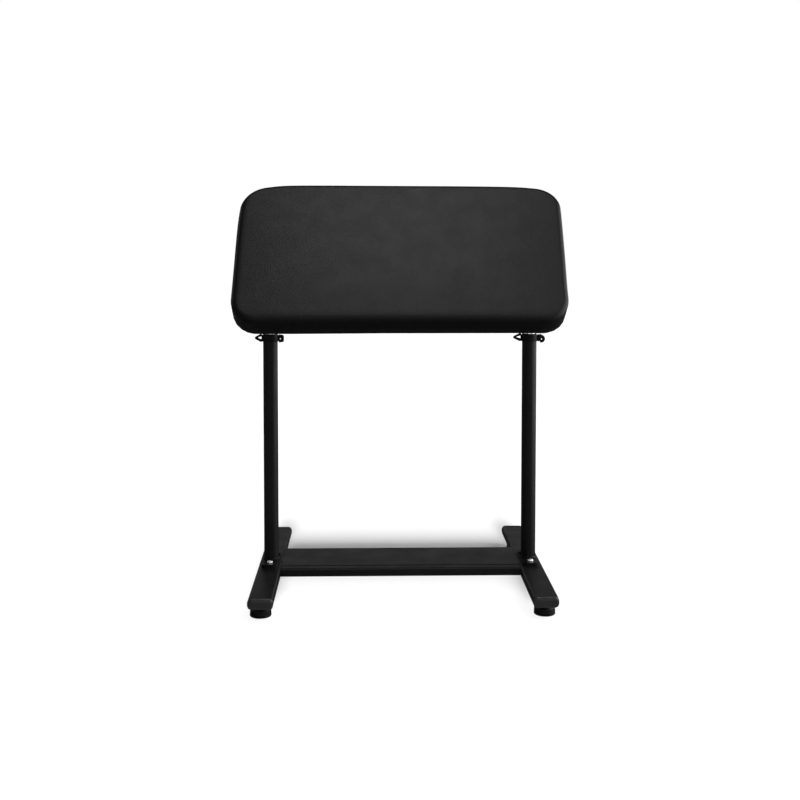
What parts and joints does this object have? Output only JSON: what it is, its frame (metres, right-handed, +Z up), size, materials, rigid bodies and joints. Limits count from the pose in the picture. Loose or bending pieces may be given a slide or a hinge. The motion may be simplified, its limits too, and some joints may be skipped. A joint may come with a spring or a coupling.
{
  "type": "arm rest stand",
  "caption": "Free-standing arm rest: wide upholstered tilting pad on height-adjustable posts over a low flat base with levelling feet.",
  "frame": {"origin": "on the floor, at the middle of the footprint of the two legs", "axes": "+Z up, +X to the right along the tilt axis, +Y to the back; the sitting face of the pad looks towards -Y and up"},
  "size_m": [0.591, 0.493, 0.7401],
  "materials": {
    "powder_coat": "satin",
    "black_oxide": "satin",
    "black_plastic": "satin",
    "clamp_black": "satin",
    "nylon_black": "satin",
    "nylon_natural": "satin",
    "chrome": "polished",
    "zinc_steel": "satin",
    "head_alloy": "satin",
    "fibre": "matte",
    "brass": "satin",
    "plywood": "matte",
    "foam": "matte",
    "vinyl": "satin",
    "dust_cloth": "matte"
  },
  "bodies": {
    "base": {"left_leg": "powder_coat", "right_leg": "powder_coat", "front_end_caps": "black_plastic", "rear_end_caps": "black_plastic", "crossbar": "powder_coat", "bar_end_blocks": "zinc_steel", "bar_bolts": "black_oxide", "bar_bolt_washers": "black_oxide", "leg_hole_plugs": "nylon_black", "left_base_plate": "powder_coat", "right_base_plate": "powder_coat", "plate_screws": "chrome", "plate_side_screws": "black_oxide", "plate_rivet_nuts": "zinc_steel", "left_post": "powder_coat", "right_post": "powder_coat", "left_post_collar": "clamp_black", "right_post_collar": "clamp_black", "left_post_bush": "nylon_black", "right_post_bush": "nylon_black", "foot_inserts": "zinc_steel"},
    "mast": {"left_inner_tube": "chrome", "right_inner_tube": "chrome", "left_tube_head": "head_alloy", "right_tube_head": "head_alloy", "head_roll_pins": "zinc_steel", "tube_glide_rings": "nylon_natural"},
    "pad": {"left_tilt_bracket": "powder_coat", "right_tilt_bracket": "powder_coat", "left_tilt_bolt": "zinc_steel", "right_tilt_bolt": "zinc_steel", "friction_washers": "fibre", "knob_washers": "zinc_steel", "bracket_screws": "zinc_steel", "tee_nuts": "zinc_steel", "pad_board": "plywood", "pad_foam": "foam", "pad_cover": "vinyl", "dust_cover": "dust_cloth", "staples": "zinc_steel"},
    "left_knob": {"left_tilt_knob": "black_plastic", "left_knob_insert": "brass"},
    "right_knob": {"right_tilt_knob": "black_plastic", "right_knob_insert": "brass"},
    "left_loop_clamp": {"left_loop_clamp_screw": "clamp_black"},
    "left_eye_clamp": {"left_eye_clamp_screw": "clamp_black"},
    "right_loop_clamp": {"right_loop_clamp_screw": "clamp_black"},
    "right_eye_clamp": {"right_eye_clamp_screw": "clamp_black", "right_eye_jam_nut": "clamp_black"},
    "front_left_leveller": {"front_left_foot": "black_plastic", "front_left_foot_stud": "zinc_steel"},
    "front_right_leveller": {"front_right_foot": "black_plastic", "front_right_foot_stud": "zinc_steel"},
    "rear_left_leveller": {"rear_left_foot": "black_plastic", "rear_left_foot_stud": "zinc_steel"},
    "rear_right_leveller": {"rear_right_foot": "black_plastic", "rear_right_foot_stud": "zinc_steel"}
  },
  "joints": [
    {"name": "mast_height", "type": "slide", "parent": "base", "child": "mast", "axis": [0, 0, 1], "range_m": [-0.07, 0.19]},
    {"name": "pad_tilt", "type": "hinge", "parent": "mast", "child": "pad", "pos_m": [0, -0.0065, 0.578], "axis": [1, 0, 0], "range_deg": [-65.5, 24.5]},
    {"name": "left_knob_turn", "type": "hinge", "parent": "pad", "child": "left_knob", "pos_m": [-0.26, -0.0065, 0.578], "axis": [-1, 0, 0], "range_deg": [0, 360]},
    {"name": "right_knob_turn", "type": "hinge", "parent": "pad", "child": "right_knob", "pos_m": [0.26, -0.0065, 0.578], "axis": [1, 0, 0], "range_deg": [0, 360]},
    {"name": "left_loop_turn", "type": "hinge", "parent": "base", "child": "left_loop_clamp", "pos_m": [-0.26, -0.0065, 0.45695], "axis": [-1, 0, 0], "range_deg": [0, 180]},
    {"name": "left_eye_turn", "type": "hinge", "parent": "base", "child": "left_eye_clamp", "pos_m": [-0.22, -0.0065, 0.45695], "axis": [1, 0, 0], "range_deg": [0, 180]},
    {"name": "right_loop_turn", "type": "hinge", "parent": "base", "child": "right_loop_clamp", "pos_m": [0.22, -0.0065, 0.45695], "axis": [-1, 0, 0], "range_deg": [0, 180]},
    {"name": "right_eye_turn", "type": "hinge", "parent": "base", "child": "right_eye_clamp", "pos_m": [0.26, -0.0065, 0.45695], "axis": [1, 0, 0], "range_deg": [0, 180]},
    {"name": "front_left_level", "type": "slide", "parent": "base", "child": "front_left_leveller", "axis": [0, 0, -1], "range_m": [0, 0.01]},
    {"name": "front_right_level", "type": "slide", "parent": "base", "child": "front_right_leveller", "axis": [0, 0, -1], "range_m": [0, 0.01]},
    {"name": "rear_left_level", "type": "slide", "parent": "base", "child": "rear_left_leveller", "axis": [0, 0, -1], "range_m": [0, 0.01]},
    {"name": "rear_right_level", "type": "slide", "parent": "base", "child": "rear_right_leveller", "axis": [0, 0, -1], "range_m": [0, 0.01]}
  ]
}
